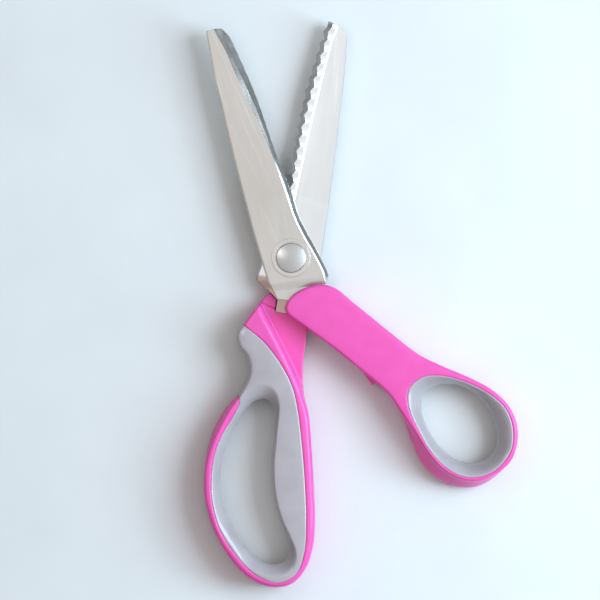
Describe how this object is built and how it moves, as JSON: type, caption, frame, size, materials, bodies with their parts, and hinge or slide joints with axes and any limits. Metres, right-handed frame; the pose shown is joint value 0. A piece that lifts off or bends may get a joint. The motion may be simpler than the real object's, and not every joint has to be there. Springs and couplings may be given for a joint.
{
  "type": "pinking shears",
  "caption": "Pinking shears that cut a zigzag edge: toothed steel blades on a pivot, a long finger handle and a round thumb handle, each with a soft grip.",
  "frame": {"origin": "on the pivot's axis at the back face of the pivot bolt and nut", "axes": "+Y up the back blade from the pivot to the tips, +Z along the pivot towards its domed head, +X to the thumb handle's side"},
  "size_m": [0.1551, 0.2351, 0.0164],
  "materials": {
    "blade_steel": "fine ground stainless steel",
    "pivot_steel": "satin stainless steel",
    "handle_plastic": "bright pink moulded plastic, semi-gloss",
    "soft_grip": "soft grey moulded elastomer, satin",
    "bearing_plastic": "natural nylon"
  },
  "bodies": {
    "back_half": {"back_blade": "blade_steel", "finger_handle_core": "handle_plastic", "finger_grip": "soft_grip", "pivot_bolt": "pivot_steel", "pivot_nut": "pivot_steel", "spring_washer": "pivot_steel", "friction_washer": "bearing_plastic", "front_washer": "pivot_steel"},
    "front_half": {"front_blade": "blade_steel", "thumb_handle_core": "handle_plastic", "thumb_ring_liner": "soft_grip"}
  },
  "joints": [
    {"name": "blade_pivot", "type": "hinge", "parent": "back_half", "child": "front_half", "pos_m": [0, 0, 0.00685], "axis": [0, 0, 1], "range_deg": [-26, 16]}
  ]
}
